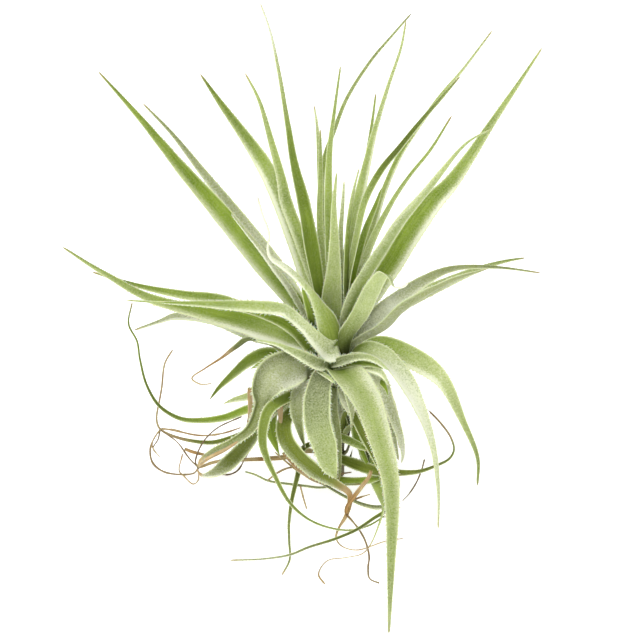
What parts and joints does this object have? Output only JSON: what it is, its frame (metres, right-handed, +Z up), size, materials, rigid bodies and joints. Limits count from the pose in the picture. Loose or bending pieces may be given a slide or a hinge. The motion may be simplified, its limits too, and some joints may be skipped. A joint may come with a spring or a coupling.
{
  "type": "air plant",
  "caption": "Air plant standing on a surface: a short stem with a rosette of tapering channelled leaves, a raised fan behind, drooping leaves in front and dry curled fibres below.",
  "frame": {"origin": "middle of the stem's flat foot, on the surface that the plant stands on", "axes": "+Z up along the stem, -Y towards the viewer of the reference picture, +X to the viewer's right"},
  "size_m": [0.194, 0.1936, 0.2015],
  "materials": {
    "leaf_green": "satin, finely grained with silvery scales",
    "leaf_pale": "matte, pale silvery green with fine hairs",
    "leaf_grey": "matte, grey green with dry tips",
    "leaf_dry": "matte, dry and brown",
    "stem_dry": "matte, rough with withered leaf stubs"
  },
  "bodies": {
    "root": {"stem": "stem_dry", "leaf_heart_needle": "leaf_green", "leaf_heart": "leaf_green", "leaf_fan_middle": "leaf_green", "leaf_heart_right": "leaf_green", "leaf_fan_dark_needle": "leaf_green", "leaf_fan_tallest": "leaf_green", "leaf_fan_right_middle": "leaf_green", "leaf_fan_bowed": "leaf_green", "leaf_heart_bright": "leaf_green", "leaf_fan_right": "leaf_green", "leaf_fan_left_needle": "leaf_green", "leaf_fan_right_needle": "leaf_green", "leaf_front_curled": "leaf_pale", "leaf_heart_left": "leaf_pale", "leaf_fan_right_channelled": "leaf_pale", "leaf_fan_right_thin": "leaf_green", "leaf_fan_left_thin": "leaf_green", "leaf_fan_far_right_thin": "leaf_green", "leaf_fan_left": "leaf_green", "leaf_fan_far_right": "leaf_green", "leaf_fan_left_grey": "leaf_grey", "leaf_fan_far_left": "leaf_green", "leaf_left_pale": "leaf_pale", "leaf_right_front": "leaf_grey", "leaf_right_pale": "leaf_pale", "leaf_right_long": "leaf_grey", "leaf_left_broad": "leaf_green", "leaf_front_long": "leaf_green", "leaf_back_left": "leaf_green", "leaf_right_arched": "leaf_green", "leaf_left_behind": "leaf_green", "leaf_right_behind": "leaf_green", "leaf_front_left_folded": "leaf_grey", "leaf_front_broad": "leaf_pale", "leaf_back": "leaf_green", "leaf_left_grey": "leaf_grey", "leaf_front_grey": "leaf_grey", "leaf_left_dry_tip": "leaf_dry", "leaf_front_sweep": "leaf_pale", "leaf_left_dark": "leaf_green", "leaf_right_lower": "leaf_grey", "leaf_back_right": "leaf_green", "leaf_left_hook": "leaf_green", "leaf_back_left_low": "leaf_green", "leaf_left_short": "leaf_green", "leaf_front_narrow": "leaf_grey", "leaf_front_under": "leaf_grey", "leaf_left_lower": "leaf_grey", "leaf_back_low": "leaf_grey", "leaf_left_loop": "leaf_grey", "leaf_right_hook": "leaf_grey", "leaf_right_lower_inner": "leaf_grey", "leaf_right_prop": "leaf_grey", "leaf_floor_curl": "leaf_green", "leaf_floor_long": "leaf_grey", "leaf_floor_back_sweep": "leaf_grey", "leaf_floor_straight": "leaf_grey", "leaf_front_frayed": "leaf_grey", "dry_tangle": "leaf_dry"}
  },
  "joints": []
}
